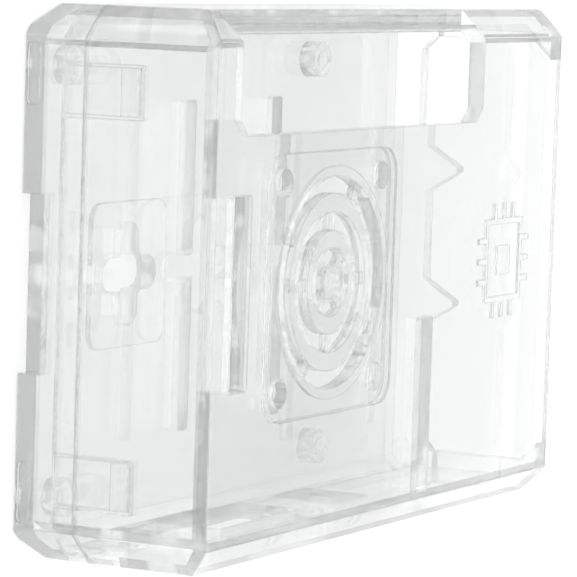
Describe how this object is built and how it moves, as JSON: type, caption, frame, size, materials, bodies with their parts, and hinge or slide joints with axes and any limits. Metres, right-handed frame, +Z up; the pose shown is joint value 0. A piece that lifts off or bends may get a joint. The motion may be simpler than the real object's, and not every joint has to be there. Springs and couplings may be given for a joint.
{
  "type": "single board computer case",
  "caption": "Clear snap-fit case for a credit-card-size single board computer, with fan grille, pin-header notch, ribbon slots and a wall-hanging keyhole.",
  "frame": {"origin": "centre of the footprint on the underside of the base", "axes": "+X along the length, from the card end to the port end; +Y across, towards the pin-header side; +Z up, out of the lid"},
  "size_m": [0.091, 0.063, 0.0253],
  "materials": {
    "clear_base": "polished, water clear",
    "clear_cover": "polished, water clear",
    "clear_tab": "polished, water clear"
  },
  "bodies": {
    "base": {"bottom_base": "clear_base"},
    "cover": {"top_cover": "clear_cover"},
    "tab_left": {"snap_tab_left": "clear_tab"},
    "tab_right": {"snap_tab_right": "clear_tab"}
  },
  "joints": [
    {"name": "cover_lift", "type": "slide", "parent": "base", "child": "cover", "axis": [0, 0, 1], "range_m": [0, 0.03]},
    {"name": "tab_left_flex", "type": "hinge", "parent": "base", "child": "tab_left", "pos_m": [-0.04365, 0.022, 0.0049], "axis": [0, 1, 0], "range_deg": [0, 4], "stiffness_Nm_per_rad": 0.45},
    {"name": "tab_right_flex", "type": "hinge", "parent": "base", "child": "tab_right", "pos_m": [-0.04365, -0.022, 0.0049], "axis": [0, 1, 0], "range_deg": [0, 4], "stiffness_Nm_per_rad": 0.45}
  ]
}
